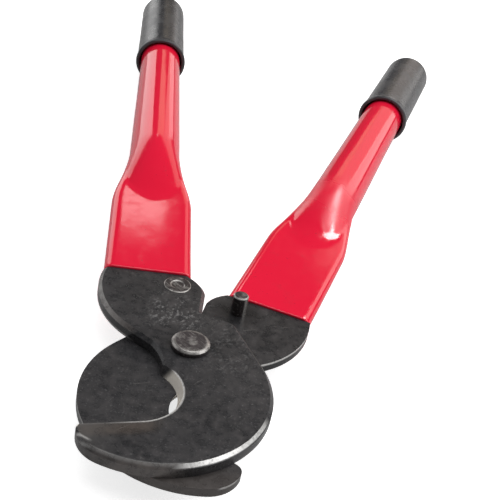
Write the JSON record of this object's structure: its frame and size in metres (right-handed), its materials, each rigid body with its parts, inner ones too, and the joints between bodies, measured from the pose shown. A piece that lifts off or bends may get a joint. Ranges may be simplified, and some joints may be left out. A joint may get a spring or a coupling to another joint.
{
  "type": "cable cutter",
  "caption": "Long-handled cable cutter: hooked shear blades lapped on a pivot bolt, stop pins, and red tube handles pressed flat onto the blade tangs, ending in moulded grip caps.",
  "frame": {"origin": "on the pivot axis, in the middle of the flat top face of the pivot bolt's head", "axes": "+X towards the right handle's side, +Y from the jaws towards the handles, +Z along the pivot bolt towards its head"},
  "size_m": [0.2088, 0.4635, 0.0382],
  "materials": {
    "blade_steel": "forged and black oxide finished steel, satin, ground bright at the cutting edge and worn bright on the outer bevel",
    "red_enamel": "glossy baked red enamel on steel tube",
    "cap_vinyl": "charcoal moulded vinyl, satin",
    "bolt_steel": "dark forged head with a bright turned bevel",
    "bushing_bronze": "sintered bronze, oiled",
    "hardened_washer": "ground hardened steel",
    "spring_steel": "oiled spring steel",
    "zinc_plated_steel": "bright zinc plating",
    "nylon": "natural nylon",
    "pin_steel": "dark turned steel with bright worn edges"
  },
  "bodies": {
    "upper_half": {"upper_blade": "blade_steel", "left_handle_tube": "red_enamel", "left_grip_cap": "cap_vinyl", "left_tang_rivets": "red_enamel", "pivot_bolt": "bolt_steel", "thrust_washer": "hardened_washer", "disc_spring": "spring_steel", "lock_nut": "zinc_plated_steel", "lock_nut_insert": "nylon", "upper_stop_pin": "pin_steel"},
    "lower_half": {"lower_blade": "blade_steel", "right_handle_tube": "red_enamel", "right_grip_cap": "cap_vinyl", "right_tang_rivets": "red_enamel", "pivot_bushing": "bushing_bronze", "lower_stop_pin": "pin_steel"}
  },
  "joints": [
    {"name": "blade_pivot", "type": "hinge", "parent": "upper_half", "child": "lower_half", "pos_m": [0, 0, -0.0089], "axis": [0, 0, -1], "range_deg": [-15.5, 85]}
  ]
}
